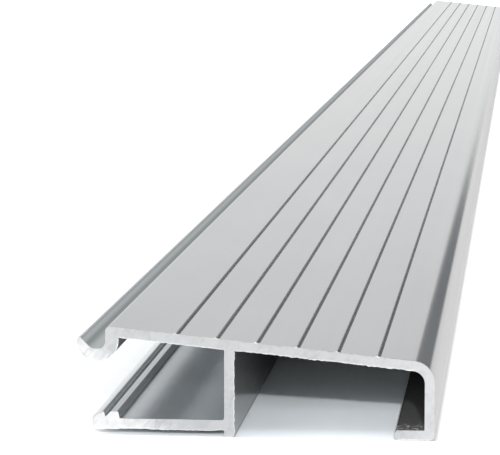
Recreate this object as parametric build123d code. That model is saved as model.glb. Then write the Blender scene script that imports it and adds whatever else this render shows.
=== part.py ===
from build123d import *
import os
from math import cos, floor, radians, tan

# Threshold profile: one length of extruded aluminium, open at both ends.
# Seen from its front end, the section has a sloping grooved tread with a hooked edge at its high
# left side and a rounded nose at its low right side. A web stands under the tread and carries a
# shelf on its left. The nose turns down into a wall with a return lip on the floor.
# X runs across the section, Y along the length and Z up. The origin is on the floor, under the
# middle of the width and of the length. Sizes are in millimetres and angles in degrees.

# The stock
length = 2000.0
width = 70.0  # outside of the hook to the face of the right wall
wall = 2.0  # tread, web, shelf, right wall and lip
root_radius = 0.3  # inside corners where two walls meet
corner_share = 0.45  # a rounded outside corner takes at most this share of its wall

# Tread
tread_edge_height = 21.54  # floor to the tread's sharp high corner, before it is rounded
tread_edge_radius = 0.9
tread_fall = 5.65  # slope down towards the nose
groove_width = 0.93
groove_angle = 70.0  # included angle of the V
groove_pitch = 7.91  # along the slope
groove_first = 14.29  # along the slope, from the tread's high corner
groove_margin = 5.0  # least plain band between the last groove and the nose

# Nose, right wall and return lip
nose_radius = 4.5  # outside
heel_radius = 1.0  # outside corner at the floor
lip_reach = 7.8  # from the outside of the wall to the lip's tip
lip_tip_radius = 0.8

# Hooked edge with its trough
hook_radius = 4.14  # outside
hook_drop = 2.85  # tread's high corner down to the centre of the hook's outside
hook_wall = 2.6  # beside the trough
hook_floor = 2.5  # below it
hook_tip_radius = 0.6
tip_share = 0.95  # the rounded tip takes at most this share of its straight sides
trough_width = 2.67  # its flat bottom, from the wall to the foot of the open side, before rounding
trough_flare = 45.0  # the open side leans out from upright by this
trough_wall_radius = 1.6  # where the bottom meets the wall
trough_flare_radius = 1.8  # where it meets the open side
trough_share = 0.95  # the two radii take at most this share of the bottom

# Web and shelf
web_inset = 29.0  # outside of the hook to the web's left face
web_foot_radius = 0.25
shelf_rise = 1.37  # floor to the shelf's underside
shelf_inset = 3.0  # outside of the hook to the shelf's free end
shelf_tip_radius = 0.7

# Two ridges at the shelf's free end, with a V notch between them
ridge_height = 1.36  # above the shelf
ramp_start = 0.2  # foot of the outer ramp, above the shelf
ramp_run = 2.27  # free end to the outer ridge's crest
notch_depth = 1.1
notch_back = 0.36  # crest to the notch's bottom
notch_front = 1.1  # notch's bottom to the inner ridge's land
land_width = 1.4
land_back = 0.27  # run of the inner ridge's back slope

# Places worked out from the sizes above
left = -width / 2
right = width / 2
hook_x = left + hook_radius
hook_z = tread_edge_height - hook_drop
hook_right = hook_x + hook_radius
tread_start = hook_right - hook_wall
trough_x = tread_start - trough_width
trough_z = hook_z - hook_radius + hook_floor
slope = tan(radians(tread_fall))
web_left = left + web_inset
web_right = web_left + wall
shelf_end = left + shelf_inset
shelf_top = shelf_rise + wall
crest_z = shelf_top + ridge_height
ridges_run = ramp_run + notch_back + notch_front + land_width + land_back


def tread_top(x):
    """Height of the tread's upper face."""
    return tread_edge_height - (x - tread_start) * slope


def tread_underside(x):
    """Height of the tread's lower face, one wall square below the upper one."""
    return tread_top(x) - wall / cos(radians(tread_fall))


def within_wall(radius):
    """Corner radius, limited by the wall that it rounds."""
    return min(radius, corner_share * wall)


def outline(corners):
    """Face inside a closed outline of (x, z, corner radius) rows."""
    points = [(x, z) for x, z, radius in corners]
    return make_face(FilletPolyline(*points, radius=[radius for x, z, radius in corners], close=True))


def skin_section():
    """Tread, nose, right wall and return lip, as one bent strip."""
    lip_tip = within_wall(lip_tip_radius)
    inner_x = right - wall
    lip_x = right - lip_reach
    return outline([
        (tread_start, tread_top(tread_start), within_wall(tread_edge_radius)),
        (right, tread_top(right), nose_radius),
        (right, 0, heel_radius),
        (lip_x, 0, lip_tip),
        (lip_x, wall, lip_tip),
        (inner_x, wall, 0),
        (inner_x, tread_underside(inner_x), max(nose_radius - wall, 0)),
        (tread_start, tread_underside(tread_start), 0),
    ])


def web_section():
    """Upright web, from the floor to the middle of the tread."""
    foot = within_wall(web_foot_radius)
    top = tread_top(web_right) - wall / 2
    return outline([
        (web_left, 0, foot),
        (web_right, 0, foot),
        (web_right, top, 0),
        (web_left, top, 0),
    ])


def shelf_section():
    """Shelf, from the web's middle out to the ramp, the notch and the land at its free end."""
    crest_x = shelf_end + ramp_run
    notch_x = crest_x + notch_back
    land_start = notch_x + notch_front
    land_end = land_start + land_width
    web_middle = (web_left + web_right) / 2
    return outline([
        (shelf_end, shelf_rise, within_wall(shelf_tip_radius)),
        (shelf_end, shelf_top + ramp_start, 0),
        (crest_x, crest_z, 0),
        (notch_x, crest_z - notch_depth, 0),
        (land_start, crest_z, 0),
        (land_end, crest_z, 0),
        (land_end + land_back, shelf_top, 0),
        (web_middle, shelf_top, 0),
        (web_middle, shelf_rise, 0),
    ])


def hook_section():
    """Round hook with a flat-bottomed trough: its right side runs up into the tread, its left side
    flares to a tip."""
    flare = radians(trough_flare)
    flare_x = trough_x - (hook_z - trough_z) * tan(flare)
    tip_z = hook_z + (flare_x - left) / tan(flare)
    tip_radius = min(hook_tip_radius, tip_share * (tip_z - hook_z) * tan(flare / 2))
    upper_half = Pos(hook_x, hook_z) * Rectangle(
        2 * hook_radius, hook_radius, align=(Align.CENTER, Align.MIN)
    )
    bowl = Pos(hook_x, hook_z) * Circle(hook_radius) - upper_half
    tip = outline([(left, hook_z, 0), (left, tip_z, tip_radius), (flare_x, hook_z, 0)])
    side = Pos(tread_start, hook_z) * Rectangle(
        hook_wall, tread_underside(tread_start) + wall / 2 - hook_z, align=Align.MIN
    )
    rounded = trough_wall_radius + trough_flare_radius * tan(radians(90 - trough_flare) / 2)
    fit = min(1, trough_share * trough_width / rounded)
    trough = outline([
        (tread_start, tip_z, 0),
        (tread_start, trough_z, fit * trough_wall_radius),
        (trough_x, trough_z, fit * trough_flare_radius),
        (left, tip_z, 0),
    ])
    return bowl + tip - trough + side


def groove_cutters():
    """V grooves across the flat of the tread, as many as the pitch and the margin allow."""
    depth = groove_width / 2 / tan(radians(groove_angle / 2))
    nose_run = nose_radius * tan(radians(90 - tread_fall) / 2)
    flat_end = (right - tread_start) / cos(radians(tread_fall)) - nose_run
    count = floor((flat_end - groove_margin - groove_first) / groove_pitch) + 1
    vee = make_face(Polyline((-groove_width, depth), (groove_width, depth), (0, -depth), close=True))
    along_tread = Pos(tread_start, tread_edge_height) * Rot(0, 0, -tread_fall)
    return [along_tread * Pos(groove_first + index * groove_pitch, 0) * vee for index in range(count)]


def round_roots(section):
    """Rounds the inside corners of hook and tread, web and tread, web and shelf, ridge and shelf."""
    roots = [
        (hook_right, tread_underside(hook_right)),
        (web_left, tread_underside(web_left)),
        (web_right, tread_underside(web_right)),
        (web_left, shelf_top),
        (web_left, shelf_rise),
        (shelf_end + ridges_run, shelf_top),
    ]
    corners = [section.vertices().sort_by_distance((x, z))[0] for x, z in roots]
    return fillet(corners, root_radius)


section = skin_section() + web_section() + shelf_section() + hook_section()
section = round_roots(section - groove_cutters())
profile = extrude(Plane.XZ * section, amount=length / 2, both=True)

os.makedirs("parts", exist_ok=True)
export_step(profile, "parts/extrusion_profile.step")
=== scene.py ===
from math import cos, radians, sin, tan

import bpy
import numpy as np
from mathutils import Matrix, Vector
from mathutils.geometry import delaunay_2d_cdt


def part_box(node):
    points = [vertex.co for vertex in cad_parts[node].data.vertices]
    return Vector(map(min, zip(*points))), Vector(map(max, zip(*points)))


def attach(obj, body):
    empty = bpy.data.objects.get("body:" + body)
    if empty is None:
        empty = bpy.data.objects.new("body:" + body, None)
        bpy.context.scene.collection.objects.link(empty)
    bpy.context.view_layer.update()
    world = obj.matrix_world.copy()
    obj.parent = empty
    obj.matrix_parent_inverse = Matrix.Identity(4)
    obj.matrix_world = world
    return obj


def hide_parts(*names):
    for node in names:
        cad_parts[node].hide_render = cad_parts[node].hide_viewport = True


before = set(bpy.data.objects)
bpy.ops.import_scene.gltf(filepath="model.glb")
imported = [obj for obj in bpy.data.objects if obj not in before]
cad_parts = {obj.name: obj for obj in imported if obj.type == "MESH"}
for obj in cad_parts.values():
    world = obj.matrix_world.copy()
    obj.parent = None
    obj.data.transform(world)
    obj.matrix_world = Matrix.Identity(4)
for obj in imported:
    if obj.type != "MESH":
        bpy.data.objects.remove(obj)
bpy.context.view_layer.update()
nodeLow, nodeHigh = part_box("extrusion_profile")
mm = 0.001
print("frame loaded:", list(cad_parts))

profile = {  # millimetres and degrees, as the die leaves the stock
    "wall": 2.0,
    "rootRadius": 0.3,
    "edgeRadius": 0.1,  # edges that have no radius of their own
    "treadHeight": 21.54,
    "treadEdgeRadius": 0.9,
    "treadFall": 5.65,
    "grooveWidth": 0.93,
    "grooveDrawn": (0.07, 0.22),  # the die drags each right lip in by this, from the first to the last
    "grooveAngle": 70.0,
    "groovePitch": 7.91,
    "grooveFirst": 14.29,
    "grooveCount": 6,
    "grooveLipRadius": 0.07,
    "grooveBottomRadius": 0.05,
    "noseRadius": 4.5,
    "heelRadius": 1.0,
    "lipReach": 7.8,
    "lipTipRadius": 0.8,
    "hookRadius": 4.14,
    "hookDrop": 2.85,
    "hookWall": 2.6,
    "hookFloor": 2.5,
    "hookTipRadius": 0.539,
    "troughWidth": 2.67,
    "troughWallRadius": 1.6,
    "troughFlareRadius": 1.8,
    "webInset": 29.0,
    "webFootRadius": 0.25,
    "shelfRise": 1.37,
    "shelfInset": 3.0,
    "shelfTipRadius": 0.7,
    "ridgeHeight": 1.36,
    "rampStart": 0.2,
    "rampRun": 2.27,
    "notchDepth": 1.1,
    "notchBack": 0.36,
    "notchFront": 1.1,
    "landWidth": 1.4,
    "landBack": 0.27,
    "landRadius": 0.2,
}

spacing = {  # millimetres between the points of the mesh
    "arcs": 0.1,
    "arcRuns": (4, 80),  # fewest and most runs in one arc
    "straights": 0.16,
    "sawnFaces": 0.4,
    "sawnRows": 0.87,  # rows in the sawn faces are this share of it apart
    "least": 0.0001,  # points of the outline closer than this are one
    "weld": 0.000001,  # and in the sawn faces
    "sharpAngle": 38,  # degrees: edges that turn by more are drawn sharp
    # the rings, by their distance from the nearer end
    "rings": (0, 0.05, 0.12, 0.25, 0.5, 0.8, 1.1, 1.4, 1.8, 3, 10, 40, 150, 450, 1000),
}


def sectionCorners(p):
    # corners of the section, clockwise from the tread's high edge: across, up, corner radius
    left = nodeLow.x / mm
    right = nodeHigh.x / mm
    fall = radians(p["treadFall"])
    slope = tan(fall)
    hookX = left + p["hookRadius"]
    hookZ = p["treadHeight"] - p["hookDrop"]
    hookRight = hookX + p["hookRadius"]
    treadStart = hookRight - p["hookWall"]
    hookBottom = hookZ - p["hookRadius"]
    webLeft = left + p["webInset"]
    webRight = webLeft + p["wall"]
    shelfEnd = left + p["shelfInset"]
    shelfTop = p["shelfRise"] + p["wall"]
    crestX = shelfEnd + p["rampRun"]
    crestZ = shelfTop + p["ridgeHeight"]
    notchX = crestX + p["notchBack"]
    landStart = notchX + p["notchFront"]
    landEnd = landStart + p["landWidth"]
    ridgeFoot = landEnd + p["landBack"]
    lipX = right - p["lipReach"]
    innerX = right - p["wall"]

    def treadTop(x):
        return p["treadHeight"] - (x - treadStart) * slope

    def underside(x):
        return treadTop(x) - p["wall"] / cos(fall)

    # the trough's flat bottom lies between its upright wall and its flank, which leans out by 45 degrees
    troughX = treadStart - p["troughWidth"]
    troughZ = hookBottom + p["hookFloor"]
    tipZ = troughZ + troughX - left
    # each groove is a V, set square to the sloping tread, with its right lip dragged in
    middle = p["grooveFirst"] + p["groovePitch"] * np.arange(p["grooveCount"])
    half = p["grooveWidth"] / 2
    drawn = np.linspace(*p["grooveDrawn"], p["grooveCount"])
    depth = (half - drawn / 2) / tan(radians(p["grooveAngle"] / 2))
    along = np.stack([middle - half, middle - drawn / 2, middle + half - drawn], 1).ravel()
    deep = np.stack([0 * depth, -depth, 0 * depth], 1).ravel()
    lip, bottom = p["grooveLipRadius"], p["grooveBottomRadius"]
    grooves = np.stack([
        treadStart + along * cos(fall) + deep * sin(fall),
        p["treadHeight"] - along * sin(fall) + deep * cos(fall),
        np.tile([lip, bottom, lip], p["grooveCount"]),
    ], 1)
    edge = p["edgeRadius"]
    root = p["rootRadius"]
    rest = np.array([
        (right, treadTop(right), p["noseRadius"]),
        (right, 0, p["heelRadius"]),
        (lipX, 0, p["lipTipRadius"]),
        (lipX, p["wall"], p["lipTipRadius"]),
        (innerX, p["wall"], edge),
        (innerX, underside(innerX), p["noseRadius"] - p["wall"]),
        (webRight, underside(webRight), root),
        (webRight, 0, p["webFootRadius"]),
        (webLeft, 0, p["webFootRadius"]),
        (webLeft, p["shelfRise"], root),
        (shelfEnd, p["shelfRise"], p["shelfTipRadius"]),
        (shelfEnd, shelfTop + p["rampStart"], edge),
        (crestX, crestZ, edge),
        (notchX, crestZ - p["notchDepth"], edge),
        (landStart, crestZ, edge),
        (landEnd, crestZ, p["landRadius"]),
        (ridgeFoot, shelfTop, root),
        (webLeft, shelfTop, root),
        (webLeft, underside(webLeft), root),
        (hookRight, underside(hookRight), root),
        (hookRight, hookBottom, p["hookRadius"]),
        (left, hookBottom, p["hookRadius"]),
        (left, tipZ, p["hookTipRadius"]),
        (troughX, troughZ, p["troughFlareRadius"]),
        (treadStart, troughZ, p["troughWallRadius"]),
    ])
    first = [[treadStart, p["treadHeight"], p["treadEdgeRadius"]]]
    places = {
        "fall": fall,
        "treadStart": treadStart,
        "grooves": middle,
        "grooveDepth": depth.max(),
        "hookCentre": (hookX, hookZ),
        "hookRight": hookRight,
        "tip": (left, tipZ),
        "webMiddle": (webLeft + webRight) / 2,
        "webRight": webRight,
        "shelfEnd": shelfEnd,
        "shelfTop": shelfTop,
        "crest": (crestX, crestZ),
        "ridgeFoot": ridgeFoot,
    }
    return np.concatenate([first, grooves, rest]), places


def roundedLoop(corners):
    # every corner becomes an arc: it starts radius / tan(half the angle) before the corner and its
    # centre lies on the bisector, radius / sin(half the angle) away
    point, radius = corners[:, :2], corners[:, 2]
    back = np.roll(point, 1, 0) - point
    ahead = np.roll(point, -1, 0) - point
    back /= np.linalg.norm(back, axis=1, keepdims=True)
    ahead /= np.linalg.norm(ahead, axis=1, keepdims=True)
    half = np.arccos(np.clip((back * ahead).sum(1), -1, 1)) / 2
    bisector = back + ahead
    bisector /= np.linalg.norm(bisector, axis=1, keepdims=True)
    centre = point + bisector * (radius / np.sin(half))[:, None]
    spoke = point + back * (radius / np.tan(half))[:, None] - centre
    turn = np.sign(back[:, 0] * ahead[:, 1] - back[:, 1] * ahead[:, 0])
    sweep = -turn * (np.pi - 2 * half)
    runs = np.clip(np.ceil(np.abs(sweep) * radius / spacing["arcs"]), *spacing["arcRuns"]).astype(int)
    count = runs + 1
    owner = np.repeat(np.arange(len(count)), count)
    share = (np.arange(count.sum()) - (np.cumsum(count) - count)[owner]) / runs[owner]
    angle = share * sweep[owner]
    x, z = spoke[owner].T
    turnedX = x * np.cos(angle) - z * np.sin(angle)
    turnedZ = x * np.sin(angle) + z * np.cos(angle)
    arc = centre[owner] + np.stack([turnedX, turnedZ], 1)
    apart = np.linalg.norm(arc - np.roll(arc, 1, 0), axis=1) > spacing["least"]
    return arc[apart]


def filledLoop(loop):
    # every run longer than the step is cut into equal shares
    run = np.roll(loop, -1, 0) - loop
    count = np.maximum(1, np.ceil(np.linalg.norm(run, axis=1) / spacing["straights"])).astype(int)
    owner = np.repeat(np.arange(len(loop)), count)
    share = (np.arange(count.sum()) - (np.cumsum(count) - count)[owner]) / count[owner]
    return loop[owner] + run[owner] * share[:, None]


def alongLoop(loop):
    # distance along the loop at each of its points, and the whole way round
    step = np.linalg.norm(np.roll(loop, -1, 0) - loop, axis=1)
    return np.cumsum(step) - step, step.sum()


def outwardOf(loop):
    # square to the run from the point before to the point after
    tangent = np.roll(loop, -1, 0) - np.roll(loop, 1, 0)
    tangent /= np.linalg.norm(tangent, axis=1, keepdims=True)
    return np.stack([-tangent[:, 1], tangent[:, 0]], 1)


def bell(distance, width):
    return np.exp(-(distance / width) ** 2)


def raggedLine(along, total, pitch, seed):
    # random heights from 0 to 1, one every pitch along the edge, joined by straight lines
    knots = int(total / pitch)
    heights = np.random.default_rng(seed).random(knots)
    return np.interp(along, np.arange(knots) * total / knots, heights, period=total)


sawing = {  # millimetres: what the saw does to the two ends
    "edgeBreak": 0.03,  # the sharp edge is worn back by this
    "underBreak": 0.13,  # and by this much more under the tread, right of the web
    "burrReach": 0.32,  # longest tooth of the burr
    "burrThickness": 0.14,  # how far along the stock a tooth dies away
    "fineTeeth": 0.38,  # their spacing
    "coarseTeeth": 2.6,
    "waves": 3.4,  # spacing of the gentler waves under the shelf and round the hook
    "grooveClosed": (0.9, 1.7),  # the saw smears each groove shut over a length between these
    "closedPower": 4,  # the higher, the more abruptly that length ends
    "bumpHeight": 0.2,  # and raises a bump on the groove's left
    "bumpOffset": 0.42,
    "bumpWidth": 0.36,
    "patchSize": 1.7,  # the blade's chatter leaves low facets about this wide
    "patchSpread": (0.6, 1.8),  # shortest and longest wave, against that size
    "patchWaves": 24,
    "patchDepth": 0.012,
    "besideCut": 0.1,  # the sides look sawn this close to the cut
    "edgeSeeds": (11, 47),  # front and back
    "faceSeeds": (5, 29),
}

burring = {  # shares of the full burr, of its painted highlight and of the painted dark outline, and where they lie
    "coarse": 0.5,  # the teeth are a coarse and a fine ragged line, less what is cut off
    "fine": 0.9,
    "cutOff": 0.35,
    "underTread": 0.35,
    "rightOfWeb": 0.5,  # this much more there
    "onWeb": 0.85,
    "onTop": 0.2,
    "underShelf": 0.5,
    "leftWave": 0.4,  # waves on the hook and on the shelf's free end
    "leftWaveLeast": 0.3,
    "shelfWave": 0.8,  # and all along under the shelf
    "shelfWaveCutOff": 0.35,
    "shineCoarse": 0.1,
    "shineEdges": 0.8,
    "shineLeast": 0.4,
    "edgeShade": 0.4,  # the painted dark outline
    "edgeShadeFine": 0.5,
    "facingFrom": 0.9,  # cosine from which a face counts as facing one way
    "facingSlope": 10,  # so that it counts in full at a cosine of 1
    "onFace": 0.1,  # millimetres by which a point may be off its face
    "hookClear": 0.6,  # millimetres right of the hook where the teeth under the tread start
    "webClear": 0.4,  # and right of the web, where they get stronger
    "webTop": 16.8,  # millimetres up to where the teeth on the web reach
    "leftTop": 19.0,  # and the waves on the left
    "hookOutside": 3.5,  # faces more millimetres than this from the hook's centre are its outside
    "freeEnd": 2.0,  # millimetres of the shelf's free end that are outlined
    "freeEndFacing": 0.3,  # apart from faces that look right by more than this cosine
}


def edgeBurr(loop, places, seed):
    # how far the sawn edge stands out from the section, its painted highlight and its painted dark outline:
    # set back a little everywhere, with teeth on and under the tread, under the shelf and on the web's right
    # edge, waves under the shelf and on the left, and the painted dark outline round the hook and the shelf's
    # free end
    outward = outwardOf(loop)
    along, total = alongLoop(loop)
    x, z = loop.T
    upper = z > profile["treadHeight"] / 2

    def facing(side):
        return np.clip((side - burring["facingFrom"]) * burring["facingSlope"], 0, 1)

    coarse = raggedLine(along, total, sawing["coarseTeeth"], seed)
    fine = raggedLine(along, total, sawing["fineTeeth"], seed + 1)
    wave = raggedLine(along, total, sawing["waves"], seed + 2)
    facesDown = facing(-outward[:, 1])
    onTop = facing(outward[:, 1]) * upper
    underTread = facesDown * upper * (x > places["hookRight"] + burring["hookClear"])
    rightOfWeb = underTread * (x > places["webRight"] + burring["webClear"])
    atWeb = (np.abs(x - places["webRight"]) < burring["onFace"]) & (z < burring["webTop"])
    onWeb = facing(outward[:, 0]) * atWeb
    underShelf = facesDown * (np.abs(z - profile["shelfRise"]) < profile["rootRadius"])
    # what faces down or right on the hook and on the shelf's free end below it
    onLeft = x < places["hookRight"] + burring["onFace"]
    underLeft = np.clip(outward[:, 0] - outward[:, 1], 0, 1) * onLeft * (z < burring["leftTop"])
    teeth = np.clip(burring["coarse"] * coarse + burring["fine"] * fine - burring["cutOff"], 0, 1)
    toothed = (burring["underTread"] * underTread + burring["rightOfWeb"] * rightOfWeb
               + burring["onWeb"] * onWeb + burring["onTop"] * onTop + burring["underShelf"] * underShelf)
    leftWave = burring["leftWaveLeast"] + (1 - burring["leftWaveLeast"]) * wave
    shelfWave = wave - burring["shelfWaveCutOff"]
    waved = burring["leftWave"] * leftWave * underLeft + burring["shelfWave"] * shelfWave * underShelf
    burr = sawing["burrReach"] * (teeth * toothed + waved)
    setBack = sawing["edgeBreak"] + sawing["underBreak"] * rightOfWeb
    # painted highlight on the sawn edge: mostly where it faces down and on the web, and on what faces down or
    # right on the left
    litEdges = np.clip(burring["shineCoarse"] * coarse + burring["shineEdges"] * (facesDown + onWeb), 0, 1)
    shine = litEdges * (burring["shineLeast"] + (1 - burring["shineLeast"]) * fine) + underLeft
    onHook = onLeft & (((loop - places["hookCentre"]) * outward).sum(1) > burring["hookOutside"])
    nearFreeEnd = (x < places["shelfEnd"] + burring["freeEnd"]) & ~upper
    outlined = onHook | (nearFreeEnd & (outward[:, 0] < burring["freeEndFacing"]))
    # painted shade: a dark outline round the hook and the shelf's free end
    edgeShade = np.where(outlined, burring["edgeShade"] + burring["edgeShadeFine"] * fine, 0)
    return burr - setBack, np.clip(shine, 0, 1), edgeShade * (1 - underLeft)


def grooveEnds(loop, places, seed):
    # how far each point lies under the plain tread, over what length the saw closed its groove, and the
    # bump to the left of each groove, which falls off as a bell curve
    x, z = loop.T
    fromEdge = x - places["treadStart"]
    drop = profile["treadHeight"] - z
    along = fromEdge * cos(places["fall"]) + drop * sin(places["fall"])
    deep = drop * cos(places["fall"]) - fromEdge * sin(places["fall"])
    apart = along[:, None] - places["grooves"]
    nearest = np.abs(apart).argmin(1)
    low, high = sawing["grooveClosed"]
    closed = np.random.default_rng(seed).uniform(low, high, len(places["grooves"]))[nearest]
    onTread = deep < places["grooveDepth"] + burring["onFace"]
    inGroove = onTread & (np.abs(apart).min(1) < profile["grooveWidth"])
    bump = bell(apart + sawing["bumpOffset"], sawing["bumpWidth"]).max(1)
    return np.where(inGroove, deep, 0), closed, sawing["bumpHeight"] * np.where(onTread, bump, 0)


paintedLightAndGrime = {  # millimetres and shares: which faces are painted paler as light in the hollows, where painted shade lies, and the grime in the grooves
    "underTread": 1.4,  # faces further than this below the tread's top are painted paler, as light in the hollows
    "wallFace": 1.0,  # other than those this close to the right wall's outside
    "ridgeTops": 0.15,  # and the tops of the ridges, to within this
    "ridgesEnd": 2.0,  # which lie no further right of the hook than this
    "webLeft": 1.3,  # the web's left face is this close to its middle
    "shelfKind": 0.5,  # marks of the faces left of the web, on the shelf
    "aboveKind": 1.0,  # and above it
    "webKind": 0.35,  # and of the web's right face
    "onFace": 0.1,  # a point may be off its face by this
    "webFoot": 0.3,  # the web's right foot has a painted contact shade this far round its edge
    "flank": (0.45, 2.95, 0.5),  # painted shade low on the trough's flank: share, distance from the tip, width
    # and painted shade behind the hook's tip
    "behindTip": (0.5, 1.45, 0.13),
    "tipHighlight": 1.32,  # the hook's tip has a painted highlight out to this
    "tipFade": 0.12,
    "ramp": (0.5, 0.75),  # painted shade on the outer ridge: share and width
    # and painted shade on the shelf at the ridges' foot
    "ridgeFoot": (0.2, 1.8),
    "grooveDepths": (0, 0.2, 0.35, 0.55),  # grime and painted shade in the grooves, by depth
    "grooveShares": (0, 1, 1, 0.5),
    "thinAt": (40, 450, 1000),  # it thins out away from the ends
    "thinShares": (1, 0.6, 0.4),
}


def faceKinds(loop, places):
    # inner is 1 on the faces under the tread that are painted paler as light in the hollows, and 0 on the
    # tread, in the trough, on the ridges' tops and on the right wall; channel is 0 right of the web, and
    # tells the web's right face, the shelf and what lies above it apart; trough is 1 in the trough alone;
    # painted shade lies on the web's right foot and, falling off as a bell curve, low on the trough's flank,
    # behind the hook's tip, on the outer ridge and at the ridges' foot; the tip has a painted highlight
    x, z = loop.T
    upper = z > profile["treadHeight"] / 2
    drop = profile["treadHeight"] - z
    below = drop * cos(places["fall"]) - (x - places["treadStart"]) * sin(places["fall"])
    towardsHook = ((loop - places["hookCentre"]) * outwardOf(loop)).sum(1) < 0
    inTrough = towardsHook & (x < places["treadStart"] + paintedLightAndGrime["onFace"]) & upper
    crestX, crestZ = places["crest"]
    onRidge = (np.abs(z - crestZ) < paintedLightAndGrime["ridgeTops"]) & (x < places["hookRight"] + paintedLightAndGrime["ridgesEnd"])
    offWall = x < nodeHigh.x / mm - paintedLightAndGrime["wallFace"]
    inner = (below > paintedLightAndGrime["underTread"]) & offWall & ~inTrough & ~onRidge
    aboveShelf = upper | (x > places["webMiddle"] - paintedLightAndGrime["webLeft"])
    leftKinds = np.where(aboveShelf, paintedLightAndGrime["aboveKind"], paintedLightAndGrime["shelfKind"])
    channel = np.where(x < places["webMiddle"], leftKinds, 0)
    channel[np.abs(x - places["webRight"]) < paintedLightAndGrime["onFace"]] = paintedLightAndGrime["webKind"]
    foot = (np.abs(x - places["webRight"]) < paintedLightAndGrime["webFoot"]) & (z < paintedLightAndGrime["webFoot"])
    fromTip = np.linalg.norm(loop - places["tip"], axis=1)
    bands = (paintedLightAndGrime["flank"], paintedLightAndGrime["behindTip"])
    lines = sum(share * bell(fromTip - away, width) for share, away, width in bands)
    # painted highlight on the hook's tip
    tipShine = np.clip((paintedLightAndGrime["tipHighlight"] - fromTip) / paintedLightAndGrime["tipFade"], 0, 1)
    rampShare, rampWidth = paintedLightAndGrime["ramp"]
    onRamp = (x < crestX) & (z > places["shelfTop"])
    ramp = rampShare * onRamp * bell(np.hypot(x - crestX, z - crestZ), rampWidth)
    footShare, footWidth = paintedLightAndGrime["ridgeFoot"]
    pastFoot = x - places["ridgeFoot"]
    onShelf = (np.abs(z - places["shelfTop"]) < paintedLightAndGrime["onFace"]) & (pastFoot > -paintedLightAndGrime["onFace"])
    ridgeFoot = footShare * onShelf * bell(pastFoot, footWidth)
    # painted shade: contact shade at the web's foot, bands low in the trough, and shade round the outer ridge
    paintedShade = foot + inTrough * lines + ramp + ridgeFoot
    return inner.astype(float), channel, inTrough * (1 - tipShine), paintedShade, tipShine


def facetNoise(across, up, seed):
    # a sum of sine waves with seeded directions and phases, from about -1 to 1
    rng = np.random.default_rng(seed)
    waves = sawing["patchWaves"]
    heading = rng.uniform(0, 2 * np.pi, waves)
    length = sawing["patchSize"] * rng.uniform(*sawing["patchSpread"], waves)
    phase = rng.uniform(0, 2 * np.pi, waves)
    place = across[:, None] * np.cos(heading) + up[:, None] * np.sin(heading)
    return np.sin(2 * np.pi * place / length + phase).sum(1) / np.sqrt(waves)


def sawnFace(outline, seed):
    # the flat of the cut: triangles between the outline and a staggered grid, with low facets from a
    # sum of waves; only the grid points inside the outline are kept
    step = spacing["sawnFaces"]
    low, high = outline.min(0), outline.max(0)
    columns = np.arange(low[0], high[0], step)
    across, up = np.meshgrid(columns, np.arange(low[1], high[1], step * spacing["sawnRows"]))
    across[1::2] += step / 2
    points = np.concatenate([outline, np.stack([across.ravel(), up.ravel()], 1)])
    made = delaunay_2d_cdt(points.tolist(), [], [list(range(len(outline)))], 1, spacing["weld"])
    triangles = np.array(made[2])
    inside = np.setdiff1d(triangles, np.arange(len(outline)))
    place = np.arange(len(points))
    place[inside] = len(outline) + np.arange(len(inside))
    flat = points[inside]
    relief = sawing["patchDepth"] * np.abs(facetNoise(flat[:, 0], flat[:, 1], seed))
    return flat, relief, place[triangles]


def bakeMap(shareAround, distance, y, span, flats):
    # the map that the finish is baked through: the long sides fill its lower part, round the section
    # one way and along the stock the other way, by the logarithm of the distance from the nearer end
    # so that the ends get most of it; the two sawn faces lie side by side above
    sidesTop, gap, fine = 0.7, 0.015, 0.5
    half = np.log1p(distance / fine) / np.log1p(distance.max() / fine)
    v = sidesTop * np.where(y < 0, 0.5 * half, 1 - 0.5 * half)
    u0, u1 = shareAround, np.append(shareAround[1:], 1.0)
    rows = len(y) - 1
    u = np.broadcast_to(np.stack([u0, u1, u1, u0], 1), (rows, len(u0), 4))
    v = np.broadcast_to(np.stack([v[:-1], v[:-1], v[1:], v[1:]], 1)[:, None], u.shape)
    maps = [np.stack([u, v], 3).reshape(-1, 2)]
    size = np.array([0.5 - 2 * gap, 1 - sidesTop - 2 * gap])
    for index, corners in enumerate(flats):
        start = np.array([gap + 0.5 * index, sidesTop + gap])
        maps.append(start + size * (corners.reshape(-1, 2) - span[0]) / (span[1] - span[0]))
    return np.concatenate(maps).clip(0, 1)


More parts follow.
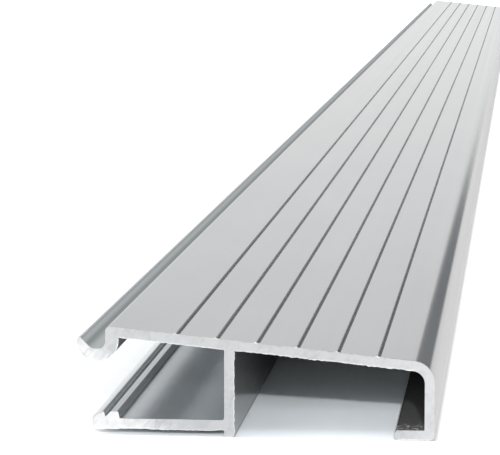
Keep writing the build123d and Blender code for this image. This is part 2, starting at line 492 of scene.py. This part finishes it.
def makeProfile():
    # the section carried along the length: every ring is the same loop, moved out by the burr and up
    # by the smeared grooves, both of which die away with the distance from the cut
    corners, places = sectionCorners(profile)
    loop = filledLoop(roundedLoop(corners))
    count = len(loop)
    near = np.array(spacing["rings"])
    distance = np.concatenate([near, near[-2::-1]])[:, None]
    halfLength = nodeHigh.y / mm
    y = np.concatenate([near - halfLength, halfLength - near[-2::-1]])
    rows = len(y)
    ends = [edgeBurr(loop, places, seed) + grooveEnds(loop, places, seed) for seed in sawing["edgeSeeds"]]
    burr, shine, edgeShade, deep, closed, bump = (np.where(y[:, None] < 0, a, b) for a, b in zip(*ends))
    fade = np.exp(-distance / sawing["burrThickness"])
    shut = np.exp(-(distance / closed) ** sawing["closedPower"])
    outward = outwardOf(loop)
    x = loop[:, 0] + fade * burr * outward[:, 0]
    z = loop[:, 1] + fade * (burr * outward[:, 1] + bump) + shut * deep
    sides = np.stack([x, np.broadcast_to(y[:, None], x.shape), z], 2)
    ring = np.arange(count)
    row = np.arange(rows - 1)[:, None] * count
    ahead = np.roll(ring, -1)
    quads = np.stack([row + ring, row + ahead, row + count + ahead, row + count + ring], 2)
    faces = quads.reshape(-1, 4).tolist()
    verts = [sides.reshape(-1, 3)]
    inner, channel, trough, paintedShade, tipShine = faceKinds(loop, places)
    besideCut = distance < sawing["besideCut"]
    # grime and painted shade in the grooves, where the saw has not closed them
    inGrooves = np.interp(deep, paintedLightAndGrime["grooveDepths"], paintedLightAndGrime["grooveShares"]) * (1 - shut)
    thinned = np.interp(distance, paintedLightAndGrime["thinAt"], paintedLightAndGrime["thinShares"])
    marks = {
        # painted highlight beside the cuts, and on the hook's tip all along
        "paintedHighlight": np.where(besideCut, np.maximum(shine, bump / sawing["bumpHeight"]), tipShine),
        # painted dark outline at the cuts
        "edgeShade": np.where(besideCut, edgeShade, 0),
        "grimeAndShade": inGrooves * thinned + paintedShade,
        "inner": np.broadcast_to(inner, x.shape),
        "channel": np.broadcast_to(channel, x.shape),
        "trough": np.broadcast_to(trough, x.shape),
    }
    sawn = [np.repeat(besideCut[:-1, 0] & besideCut[1:, 0], count)]
    flats = []
    for rowIndex, seed in zip((0, rows - 1), sawing["faceSeeds"]):
        outline = sides[rowIndex][:, [0, 2]]
        flat, relief, triangles = sawnFace(outline, seed)
        side = np.sign(y[rowIndex])
        triangles = triangles if side < 0 else triangles[:, ::-1]
        flats.append(np.concatenate([outline, flat])[triangles])
        start = sum(len(v) for v in verts)
        number = np.where(triangles < count, triangles + rowIndex * count, triangles - count + start)
        faces += number.tolist()
        verts.append(np.stack([flat[:, 0], y[rowIndex] - side * relief, flat[:, 1]], 1))
        sawn.append(np.ones(len(triangles), bool))
    verts = np.concatenate(verts) * mm
    mesh = bpy.data.meshes.new("thresholdProfile")
    mesh.from_pydata(verts.tolist(), [], faces)
    mesh.polygons.foreach_set("material_index", np.concatenate(sawn).astype(np.int32))
    mesh.polygons.foreach_set("use_smooth", np.ones(len(faces), bool))
    for name, values in marks.items():
        padded = np.zeros(len(verts), np.float32)
        padded[:values.size] = values.ravel()
        mesh.attributes.new(name, "FLOAT", "POINT").data.foreach_set("value", padded)
    along, total = alongLoop(loop)
    span = np.array([verts[:, [0, 2]].min(0), verts[:, [0, 2]].max(0)]) / mm
    bakePlaces = bakeMap(along / total, distance[:, 0], y, span, flats)
    mesh.uv_layers.new(name="OFBake").uv.foreach_set("vector", bakePlaces.astype(np.float32).ravel())
    mesh.set_sharp_from_angle(angle=radians(spacing["sharpAngle"]))
    print("profile mesh:", len(verts), "points,", len(faces), "faces, changed by validate:", mesh.validate())
    piece = bpy.data.objects.new("threshold_profile", mesh)
    bpy.context.collection.objects.link(piece)
    return piece


def plug(tree, socket, value):
    if isinstance(value, bpy.types.NodeSocket):
        tree.links.new(value, socket)
    else:
        socket.default_value = value


def addNode(tree, kind, settings=None, **sockets):
    node = tree.nodes.new(kind)
    for key, value in (settings or {}).items():
        setattr(node, key, value)
    for key, value in sockets.items():
        plug(tree, node.inputs[key.replace("_", " ")], value)
    return node


def maths(tree, operation, *values):
    node = addNode(tree, "ShaderNodeMath", {"operation": operation})
    for socket, value in zip(node.inputs, values):
        plug(tree, socket, value)
    return node.outputs[0]


def mixed(tree, share, first, second):
    # the share, the two colours and the colour that comes out have these numbers in a Mix node
    node = addNode(tree, "ShaderNodeMix", {"data_type": "RGBA"})
    for index, value in ((0, share), (6, first), (7, second)):
        plug(tree, node.inputs[index], value)
    return node.outputs[2]


def ranged(tree, value, low, high, toLow=0.0, toHigh=1.0, blend="LINEAR"):
    node = addNode(tree, "ShaderNodeMapRange", {"interpolation_type": blend}, Value=value, From_Min=low,
                   From_Max=high, To_Min=toLow, To_Max=toHigh)
    return node.outputs[0]


def attribute(tree, name):
    return addNode(tree, "ShaderNodeAttribute", {"attribute_name": name}).outputs["Fac"]


def objectPlace(tree):
    return addNode(tree, "ShaderNodeTexCoord").outputs["Object"]


def objectAxes(tree):
    return addNode(tree, "ShaderNodeSeparateXYZ", Vector=objectPlace(tree)).outputs


def stretched(tree, place, scale):
    return addNode(tree, "ShaderNodeMapping", Vector=place, Scale=scale).outputs["Vector"]


def scaledVector(tree, vector, scale):
    node = addNode(tree, "ShaderNodeVectorMath", {"operation": "SCALE"}, Vector=vector, Scale=scale)
    return node.outputs[0]


def noise(tree, place, limits, **sockets):
    # noise from 0 at the lower limit to 1 at the upper one
    texture = addNode(tree, "ShaderNodeTexNoise", Vector=place, Scale=1.0, **sockets)
    return ranged(tree, texture.outputs["Fac"], *limits)


def newGroup(name, inputs, outputs):
    group = bpy.data.node_groups.new(name, "ShaderNodeTree")
    for label, value in inputs.items():
        group.interface.new_socket(label, in_out="INPUT", socket_type="NodeSocketFloat").default_value = value
    for label in outputs:
        group.interface.new_socket(label, in_out="OUTPUT", socket_type="NodeSocketFloat")
    return group, group.nodes.new("NodeGroupInput"), group.nodes.new("NodeGroupOutput")


def placeGroup(tree, group, **values):
    node = tree.nodes.new("ShaderNodeGroup")
    node.node_tree = group
    for label, value in values.items():
        node.inputs[label].default_value = value
    return node.outputs


drawing = {  # lines that the die draws: stretch in each direction, per metre, and limits of the noise
    "fine": (5200, 1.2, 5200),
    "fineLimits": (0.35, 0.65),
    "fineDetail": 2.0,
    "broad": (420, 0.8, 420),
    "broadLimits": (0.3, 0.7),
    "broadDetail": 3.0,
}


def dieLinesGroup():
    # lines that the die draws along the length: noise that is fine across it and very long along it
    group, given, out = newGroup("dieLines", {"Fine": 1.0, "Broad": 1.0}, ["Lines", "Bands", "Height"])
    finePlace = stretched(group, objectPlace(group), drawing["fine"])
    broadPlace = stretched(group, objectPlace(group), drawing["broad"])
    fine = noise(group, finePlace, drawing["fineLimits"], Detail=drawing["fineDetail"])
    broad = noise(group, broadPlace, drawing["broadLimits"], Detail=drawing["broadDetail"])
    lines = maths(group, "MULTIPLY", fine, given.outputs["Fine"])
    bands = maths(group, "MULTIPLY", broad, given.outputs["Broad"])
    group.links.new(lines, out.inputs["Lines"])
    group.links.new(bands, out.inputs["Bands"])
    group.links.new(maths(group, "ADD", lines, bands), out.inputs["Height"])
    return group


oxide = {  # clouds and specks: stretch in each direction, per metre, and limits of the noise
    "clouds": (60, 14, 60),
    "cloudLimits": (0.32, 0.68),
    "cloudDetail": 4.0,
    "cloudRoughness": 0.6,
    "specks": (1500, 800, 1500),
    "speckLimits": (0.56, 0.62),
    "speckDetail": 1.0,
}


def cloudingGroup():
    # dull clouds of oxide and handling, some way longer along the stock than across it
    group, given, out = newGroup("oxideClouding", {"Size": 1.0}, ["Clouds", "Specks"])
    near = stretched(group, objectPlace(group), oxide["clouds"])
    cloudPlace = scaledVector(group, near, given.outputs["Size"])
    speckPlace = stretched(group, objectPlace(group), oxide["specks"])
    clouds = noise(group, cloudPlace, oxide["cloudLimits"], Detail=oxide["cloudDetail"],
                   Roughness=oxide["cloudRoughness"])
    specks = noise(group, speckPlace, oxide["speckLimits"], Detail=oxide["speckDetail"])
    group.links.new(clouds, out.inputs["Clouds"])
    group.links.new(specks, out.inputs["Specks"])
    return group


def newMaterial(name):
    material = bpy.data.materials.new(name)
    material.use_nodes = True
    tree = material.node_tree
    tree.nodes.clear()
    return material, tree, tree.nodes.new("ShaderNodeOutputMaterial")


skin = {  # the extruded faces: satin metal with faint lines along the length
    "dull": (0.485, 0.497, 0.505, 1),
    "bright": (0.555, 0.562, 0.565, 1),
    "fineLines": 1.0,
    "broadLines": 0.6,
    "lineTone": 0.35,  # share of the lines in the tone, against the clouds
    "lineGloss": 0.6,  # and of the broad lines in the gloss
    "grimeAndShade": (0.152, 0.16, 0.166, 1),  # grime and painted shade in the grooves, and painted shade on the web's foot, the trough's flank, behind the tip and round the outer ridge
    "grimeAndShadeRough": 0.25,  # which is this much rougher
    "edgeTint": (0.735, 0.74, 0.745, 1),  # what a glancing look gives back, against a perfect mirror
    "smooth": 0.1,
    "rough": 0.17,
    "metal": 0.82,  # the rest is the thin dull oxide
    "inner": (0.715, 0.71, 0.705, 1),  # the faces under the tread, painted paler as the light that bounces in the hollows
    "shelf": (0.68, 0.715, 0.735, 1),  # and bluer on the shelf, as painted bluish light
    "above": (0.8, 0.85, 0.88, 1),  # and paler still above it, as painted light
    "innerShare": 0.85,  # how far all these replace the handled tone
    "innerMetal": 0.72,
    "innerRough": 0.03,  # which are this much rougher
    "trough": (0.51, 0.54, 0.55, 1),  # the trough, which is cooler
    "troughRough": 0.3,  # and this much rougher
    "paintedHighlight": (0.76, 0.765, 0.77, 1),  # painted highlight on the hook's tip and on the edges beside the cuts
    "swarf": (0.95, 0.94, 0.92, 1),  # crumbs from the saw, on the lip
    "swarfMetal": 0.1,
    "swarfReach": 0.008,  # metres from the cut over which they lie
    "swarfFrom": 0.0262,  # metres across where they start
    "swarfTop": 0.0024,  # metres up where they end
    "bump": 0.12,  # strength of the lines' relief
    "bumpHeight": 0.00002,  # metres
}


def swarfShare(tree, axes, inner, specks):
    # 1 on the crumbs, which lie on the lip's top close to the ends
    fromMiddle = maths(tree, "ABSOLUTE", axes["Y"])
    fullFrom = nodeHigh.y - skin["swarfReach"] / 2
    nearEnds = ranged(tree, fromMiddle, nodeHigh.y - skin["swarfReach"], fullFrom)
    pastTip = maths(tree, "GREATER_THAN", axes["X"], skin["swarfFrom"])
    low = maths(tree, "LESS_THAN", axes["Z"], skin["swarfTop"])
    onLip = maths(tree, "MULTIPLY", pastTip, maths(tree, "MULTIPLY", low, inner))
    return maths(tree, "MULTIPLY", maths(tree, "MULTIPLY", nearEnds, specks), onLip)


def innerTone(tree):
    # the faces under the tread, painted paler and bluer as light in the hollows, by the mark that tells those
    # right of the web, on the shelf and above it apart
    channel = attribute(tree, "channel")
    onShelf = ranged(tree, channel, 0, paintedLightAndGrime["shelfKind"])
    aboveIt = ranged(tree, channel, paintedLightAndGrime["shelfKind"], paintedLightAndGrime["aboveKind"])
    lower = mixed(tree, onShelf, skin["inner"], skin["shelf"])
    return mixed(tree, aboveIt, lower, skin["above"])


def extrudedSkin(lines, clouding):
    material, tree, out = newMaterial("extrudedSkin")
    drawn = placeGroup(tree, lines, Fine=skin["fineLines"], Broad=skin["broadLines"])
    cloud = placeGroup(tree, clouding, Size=1.0)
    inner, trough, grimeAndShade = (attribute(tree, name) for name in ("inner", "trough", "grimeAndShade"))
    swarf = swarfShare(tree, objectAxes(tree), inner, cloud["Specks"])
    tone = maths(tree, "MULTIPLY_ADD", drawn["Lines"], skin["lineTone"], cloud["Clouds"])
    plain = mixed(tree, ranged(tree, tone, 0, 1 + skin["lineTone"]), skin["dull"], skin["bright"])
    cooler = mixed(tree, trough, plain, skin["trough"])
    # the faces under the tread are painted paler and bluer, as light in the hollows
    paler = mixed(tree, maths(tree, "MULTIPLY", inner, skin["innerShare"]), cooler, innerTone(tree))
    # painted highlight on the hook's tip and on the edges beside the cuts
    edged = mixed(tree, attribute(tree, "paintedHighlight"), paler, skin["paintedHighlight"])
    # grime and painted shade in the grooves, and painted shade on the web's foot, in the trough and round the
    # ridges
    grimedAndShaded = mixed(tree, grimeAndShade, edged, skin["grimeAndShade"])
    colour = mixed(tree, swarf, grimedAndShaded, skin["swarf"])
    bare = ranged(tree, inner, 0, 1, skin["metal"], skin["innerMetal"])
    metal = ranged(tree, swarf, 0, 1, bare, skin["swarfMetal"])
    gloss = maths(tree, "MULTIPLY_ADD", drawn["Bands"], skin["lineGloss"], swarf)
    satin = ranged(tree, gloss, 0, 1, skin["smooth"], skin["rough"])
    inside = maths(tree, "MULTIPLY_ADD", inner, skin["innerRough"], satin)
    matt = maths(tree, "MULTIPLY_ADD", grimeAndShade, skin["grimeAndShadeRough"], inside)
    rough = maths(tree, "MULTIPLY_ADD", trough, skin["troughRough"], matt)
    relief = addNode(tree, "ShaderNodeBump", Strength=skin["bump"], Distance=skin["bumpHeight"],
                     Height=drawn["Height"])
    shader = addNode(tree, "ShaderNodeBsdfPrincipled", Base_Color=colour, Metallic=metal, Roughness=rough,
                     Specular_Tint=skin["edgeTint"], Normal=relief.outputs[0])
    tree.links.new(shader.outputs[0], out.inputs["Surface"])
    return material


cut = {  # the sawn ends: bright and matt, mottled by the blade
    "dull": (0.405, 0.41, 0.417, 1),
    "bright": (0.585, 0.59, 0.598, 1),
    "sideDull": (0.57, 0.572, 0.577, 1),  # the low left side, painted lighter as light from the left
    "sideBright": (0.81, 0.81, 0.81, 1),
    "edgeShade": (0.5, 0.5, 0.505, 1),  # painted shade: the dark outline of the hook and of the shelf's free end
    "rim": (0.88, 0.88, 0.88, 1),  # painted highlight on the edges that the burr has turned up
    "smooth": 0.5,
    "rough": 0.75,
    "cloudSize": 9.0,  # the clouds are this many times finer than on the skin
    "strokeTurn": 0.95,  # radians that the blade's strokes lean
    "facets": (420, 1, 900),  # stretch in each direction, per metre
    "facetLimits": (0.32, 0.68),
    "facetDetail": 2.0,
    "facetDistortion": 0.9,
    "facetShare": 0.45,
    "strokes": (160, 1, 4200),
    "strokeLimits": (0.66, 0.74),
    "strokeDetail": 1.0,
    "strokeShare": 0.5,
    "flats": (230, 1, 480),
    "flatShare": 0.6,
    "toneLimits": (0.35, 1.75),
    "leftLean": 0.72,  # the bright side's limit moves left by this for each metre up
    "leftLimits": (-0.0135, -0.0245),  # metres across at the floor, where it starts and where it is full
    "leftBlotch": 0.002,  # metres by which the facets shift it
    "rightLimits": (0.012, 0.034),  # the same towards the right, up to a share
    "rightShare": 0.28,
    "bump": 0.2,  # strength of the mottle's relief
    "bumpHeight": 0.00003,  # metres
}


def sawnMottle(tree, place, clouds):
    # the blade's facets, and the tone that clouds, flats, facets and strokes add up to
    turned = addNode(tree, "ShaderNodeMapping", Vector=place, Rotation=(0, cut["strokeTurn"], 0)).outputs[0]
    facetPlace = stretched(tree, turned, cut["facets"])
    strokePlace = stretched(tree, turned, cut["strokes"])
    facets = noise(tree, facetPlace, cut["facetLimits"], Detail=cut["facetDetail"],
                   Distortion=cut["facetDistortion"])
    strokes = noise(tree, strokePlace, cut["strokeLimits"], Detail=cut["strokeDetail"])
    flats = addNode(tree, "ShaderNodeTexVoronoi", Vector=stretched(tree, turned, cut["flats"]), Scale=1.0)
    flatTone = addNode(tree, "ShaderNodeSeparateColor", Color=flats.outputs["Color"]).outputs["Red"]
    tone = maths(tree, "MULTIPLY_ADD", flatTone, cut["flatShare"], clouds)
    tone = maths(tree, "MULTIPLY_ADD", facets, cut["facetShare"], tone)
    return facets, maths(tree, "MULTIPLY_ADD", strokes, cut["strokeShare"], tone)


def paintedLitSides(tree, axes, facets):
    # painted light: 1 on the low left, beyond a leaning and blotchy limit, and a share of it towards the
    # right
    leaning = maths(tree, "MULTIPLY_ADD", axes["Z"], cut["leftLean"], axes["X"])
    blotchy = ranged(tree, facets, 0, 1, cut["leftBlotch"], -cut["leftBlotch"])
    leftSide = ranged(tree, maths(tree, "ADD", leaning, blotchy), *cut["leftLimits"], blend="SMOOTHSTEP")
    rightSide = ranged(tree, axes["X"], *cut["rightLimits"], 0, cut["rightShare"])
    return maths(tree, "ADD", leftSide, rightSide)


def sawnEnd(clouding):
    material, tree, out = newMaterial("sawnEnd")
    cloud = placeGroup(tree, clouding, Size=cut["cloudSize"])
    facets, tone = sawnMottle(tree, objectPlace(tree), cloud["Clouds"])
    toneShare = ranged(tree, tone, *cut["toneLimits"])
    plain = mixed(tree, toneShare, cut["dull"], cut["bright"])
    litTone = mixed(tree, toneShare, cut["sideDull"], cut["sideBright"])
    # the low left and a share of the right are painted lighter, as light falling on them
    sided = mixed(tree, paintedLitSides(tree, objectAxes(tree), facets), plain, litTone)
    # painted highlight on the burred edges of the sawn faces
    rimmed = mixed(tree, attribute(tree, "paintedHighlight"), sided, cut["rim"])
    # painted shade: the dark outline round the hook and the shelf's free end
    colour = mixed(tree, attribute(tree, "edgeShade"), rimmed, cut["edgeShade"])
    rough = ranged(tree, toneShare, 0, 1, cut["smooth"], cut["rough"])
    relief = addNode(tree, "ShaderNodeBump", Strength=cut["bump"], Distance=cut["bumpHeight"], Height=tone)
    shader = addNode(tree, "ShaderNodeBsdfPrincipled", Base_Color=colour, Metallic=1.0, Roughness=rough,
                     Normal=relief.outputs[0])
    tree.links.new(shader.outputs[0], out.inputs["Surface"])
    return material


piece = makeProfile()
lines = dieLinesGroup()
clouding = cloudingGroup()
piece.data.materials.append(extrudedSkin(lines, clouding))
piece.data.materials.append(sawnEnd(clouding))
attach(piece, "root")
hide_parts("extrusion_profile")
print("profile dressed")

table = {  # a white table, burnt out by the light but for the shadow under the stock, with painted shadows to the camera and painted light in metal; sizes in metres
    "reach": 60.0,
    "below": 0.00008,
    "shown": (1.85, 1.85, 1.85, 1),  # to the camera
    "shaded": (1.7, 1.79, 1.84, 1),  # painted shadow to the camera, under the tread
    "nearWeb": (1.42, 1.49, 1.53, 1),  # painted shadow to the camera, under the tread beside the web
    "webReach": 0.02,  # over which that fades
    # both painted shadows are scaled under the tread, by the way in from the end: the way and the scale there
    "depthScales": ((0.005, 1.0), (0.0115, 0.83), (0.03, 1.0), (0.05, 0.8), (0.067, 0.94), (0.09, 1.5)),
    "shadeFrom": -0.006,
    "shadeTo": 0.028,
    "shelfShadow": (1.1, 1.09, 1.06, 1),  # painted shadow to the camera, under the shelf
    "narrowFrom": -0.031,
    "narrowFull": -0.016,
    "narrowDepth": 0.009,  # in from the ends, where it is full
    "contactShadow": (0.95, 0.95, 0.94, 1),  # painted contact shadow to the camera, where the right wall stands on it
    "contactReach": 0.0012,  # over which that fades
    "mirrored": (1.04, 1.08, 1.1, 1),  # in metal
    "mirroredLeft": (1.4, 1.43, 1.44, 1),  # painted light in metal, to the left of the stock
    "leftReach": 0.01,  # over which that comes in
    "mirroredRight": (1.07, 1.065, 1.055, 1),  # in metal, to the right of the stock
    "mirroredWall": (1.3, 1.295, 1.285, 1),  # painted light in metal, close beside the right wall
    "wallReach": 0.0017,  # over which that fades
    "underWall": 0.001,  # both of these and the painted contact shadow start this far under the wall
    "lighting": (0.80, 0.81, 0.82, 1),  # what it throws back on the stock
}


def flatSheet(name, corners):
    mesh = bpy.data.meshes.new(name)
    mesh.from_pydata(corners, [], [(0, 1, 2, 3)])
    sheet = bpy.data.objects.new(name, mesh)
    bpy.context.collection.objects.link(sheet)
    return sheet


def raysSeen(tree):
    # 1 for the camera's rays, and 1 for those that metal and glass send on
    path = addNode(tree, "ShaderNodeLightPath").outputs
    return path["Is Camera Ray"], maths(tree, "MAXIMUM", path["Is Glossy Ray"], path["Is Transmission Ray"])


def depthScale(tree, fromMiddle):
    # a ramp between the scales of the painted shadow under the tread: they are divided by the strongest, to
    # stay within 1, and multiplied again
    deepest, strongest = table["depthScales"][-1]
    inward = ranged(tree, fromMiddle, nodeHigh.y, nodeHigh.y - deepest)
    ramp = addNode(tree, "ShaderNodeValToRGB", Fac=inward)
    stops = ramp.color_ramp.elements
    for depth, scale in table["depthScales"][1:-1]:
        stops.new(depth / deepest)
    for stop, (depth, scale) in zip(stops, table["depthScales"]):
        stop.position = depth / deepest
        stop.color = (scale / strongest, scale / strongest, scale / strongest, 1)
    return maths(tree, "MULTIPLY", ramp.outputs["Color"], strongest)


def tableShown(tree, across, fromMiddle, onRight):
    # what the camera sees: painted shadows in darker strips under the tread, under the shelf and along the
    # right wall
    beforeEnds = maths(tree, "LESS_THAN", fromMiddle, nodeHigh.y)
    pastWeb = maths(tree, "GREATER_THAN", across, table["shadeFrom"])
    beforeLip = maths(tree, "LESS_THAN", across, table["shadeTo"])
    underTread = maths(tree, "MULTIPLY", maths(tree, "MULTIPLY", pastWeb, beforeLip), beforeEnds)
    fromWeb = ranged(tree, across, table["shadeFrom"], table["shadeFrom"] + table["webReach"])
    sheltered = mixed(tree, fromWeb, table["nearWeb"], table["shaded"])
    scaled = scaledVector(tree, sheltered, depthScale(tree, fromMiddle))
    openFloor = mixed(tree, underTread, table["shown"], scaled)
    pastEnd = ranged(tree, across, table["narrowFrom"], table["narrowFull"])
    deepIn = ranged(tree, fromMiddle, nodeHigh.y, nodeHigh.y - table["narrowDepth"])
    beforeWeb = maths(tree, "LESS_THAN", across, table["shadeFrom"])
    underShelf = maths(tree, "MULTIPLY", maths(tree, "MULTIPLY", pastEnd, beforeWeb), deepIn)
    gapped = mixed(tree, underShelf, openFloor, table["shelfShadow"])
    touching = ranged(tree, across, nodeHigh.x + table["contactReach"], nodeHigh.x)
    atWall = maths(tree, "MULTIPLY", maths(tree, "MULTIPLY", touching, onRight), beforeEnds)
    return mixed(tree, atWall, gapped, table["contactShadow"])


def tableMirrored(tree, across, onRight):
    # what the stock mirrors: painted light, lighter to its left and close beside the right wall
    onLeft = ranged(tree, across, nodeLow.x, nodeLow.x - table["leftReach"])
    beside = ranged(tree, across, nodeHigh.x + table["wallReach"], nodeHigh.x)
    leftward = mixed(tree, onLeft, table["mirrored"], table["mirroredLeft"])
    rightward = mixed(tree, beside, table["mirroredRight"], table["mirroredWall"])
    return mixed(tree, onRight, leftward, rightward)


def whiteTable():
    reach, z = table["reach"], -table["below"]
    corners = [(-reach, -reach, z), (reach, -reach, z), (reach, reach, z), (-reach, reach, z)]
    sheet = flatSheet("whiteTable", corners)
    material, tree, out = newMaterial("whiteTable")
    byCamera, byMetal = raysSeen(tree)
    axes = objectAxes(tree)
    across = axes["X"]
    fromMiddle = maths(tree, "ABSOLUTE", axes["Y"])
    onRight = maths(tree, "GREATER_THAN", across, nodeHigh.x - table["underWall"])
    inMetal = mixed(tree, byMetal, table["lighting"], tableMirrored(tree, across, onRight))
    colour = mixed(tree, byCamera, inMetal, tableShown(tree, across, fromMiddle, onRight))
    shader = addNode(tree, "ShaderNodeBsdfDiffuse", Color=colour)
    tree.links.new(shader.outputs[0], out.inputs["Surface"])
    sheet.data.materials.append(material)


flag = {  # metres: a dark screen far behind, to the right, which the rounded nose mirrors
    "distance": 8.0,
    "footX": 0.945,
    "lean": 0.492,  # its left edge moves over to the left by this for each metre up
    "feather": 0.04,
    "right": 5.0,
    "top": 2.9,  # over the middle of the stock
    "fall": 1.1,  # its top comes down by this for each metre to the right
    "tone": (0.176, 0.189, 0.2, 1),
}


def darkScreen():
    y, top, feather = flag["distance"], flag["top"], flag["feather"]
    highest = top + feather
    left = flag["footX"] - flag["lean"] * highest - feather
    corners = [(left, y, 0), (flag["right"], y, 0), (flag["right"], y, highest), (left, y, highest)]
    sheet = flatSheet("darkScreen", corners)
    sheet.visible_camera = False
    sheet.visible_diffuse = False
    sheet.visible_shadow = False
    sheet.visible_transmission = False
    material, tree, out = newMaterial("darkScreen")
    axes = objectAxes(tree)
    fromLeft = maths(tree, "MULTIPLY_ADD", axes["Z"], flag["lean"], axes["X"])
    fromTop = maths(tree, "MULTIPLY_ADD", axes["X"], flag["fall"], axes["Z"])
    leftCover = ranged(tree, fromLeft, flag["footX"] - feather, flag["footX"] + feather, blend="SMOOTHSTEP")
    topCover = ranged(tree, fromTop, top + feather, top - feather, blend="SMOOTHSTEP")
    mixture = addNode(tree, "ShaderNodeMixShader", Fac=maths(tree, "MULTIPLY", leftCover, topCover))
    clear = addNode(tree, "ShaderNodeBsdfTransparent")
    dark = addNode(tree, "ShaderNodeEmission", Color=flag["tone"], Strength=1.0)
    tree.links.new(clear.outputs[0], mixture.inputs[1])
    tree.links.new(dark.outputs[0], mixture.inputs[2])
    tree.links.new(mixture.outputs[0], out.inputs["Surface"])
    sheet.data.materials.append(material)


light = {
    "skyLevel": 0.72,  # what the white room gives the object
    "keyStrength": 1.6,
    "keyRise": 18.5,  # degrees above the table
    "keyTurn": 5.8,  # degrees to the right of the stock's axis
    "keySpread": 1.5,  # degrees across
}


def whiteRoom():
    world = bpy.data.worlds.new("whiteRoom")
    world.use_nodes = True
    tree = world.node_tree
    tree.nodes.clear()
    out = tree.nodes.new("ShaderNodeOutputWorld")
    byCamera, byMetal = raysSeen(tree)
    level = ranged(tree, maths(tree, "MAXIMUM", byCamera, byMetal), 0, 1, light["skyLevel"], 1.0)
    room = addNode(tree, "ShaderNodeBackground", Color=(1, 1, 1, 1), Strength=level)
    tree.links.new(room.outputs[0], out.inputs["Surface"])
    bpy.context.scene.world = world


def keyLamp():
    rise, turn = radians(light["keyRise"]), radians(light["keyTurn"])
    lamp = bpy.data.lights.new("keyLamp", "SUN")
    lamp.energy = light["keyStrength"]
    lamp.angle = radians(light["keySpread"])
    holder = bpy.data.objects.new("keyLamp", lamp)
    travel = Vector((-sin(turn) * cos(rise), cos(turn) * cos(rise), -sin(rise)))
    holder.rotation_euler = travel.to_track_quat("-Z", "Y").to_euler()
    bpy.context.collection.objects.link(holder)


whiteTable()
darkScreen()
whiteRoom()
keyLamp()
print("table, screen and light set")

view = {  # metres and millimetres, solved from the edges of the section and the far end
    "place": (0.05173, -1.5348, 0.10203),
    "heading": (-0.09735, 0.98887, -0.1125),
    "lens": 201.6,
    "sensor": 36.0,
}


def frontCamera():
    data = bpy.data.cameras.new("frontCamera")
    data.lens = view["lens"]
    data.sensor_width = view["sensor"]
    camera = bpy.data.objects.new("frontCamera", data)
    camera.location = view["place"]
    camera.rotation_euler = Vector(view["heading"]).to_track_quat("-Z", "Y").to_euler()
    bpy.context.collection.objects.link(camera)
    bpy.context.scene.camera = camera


frontCamera()
bpy.context.scene.view_settings.view_transform = "Standard"
print("camera set")
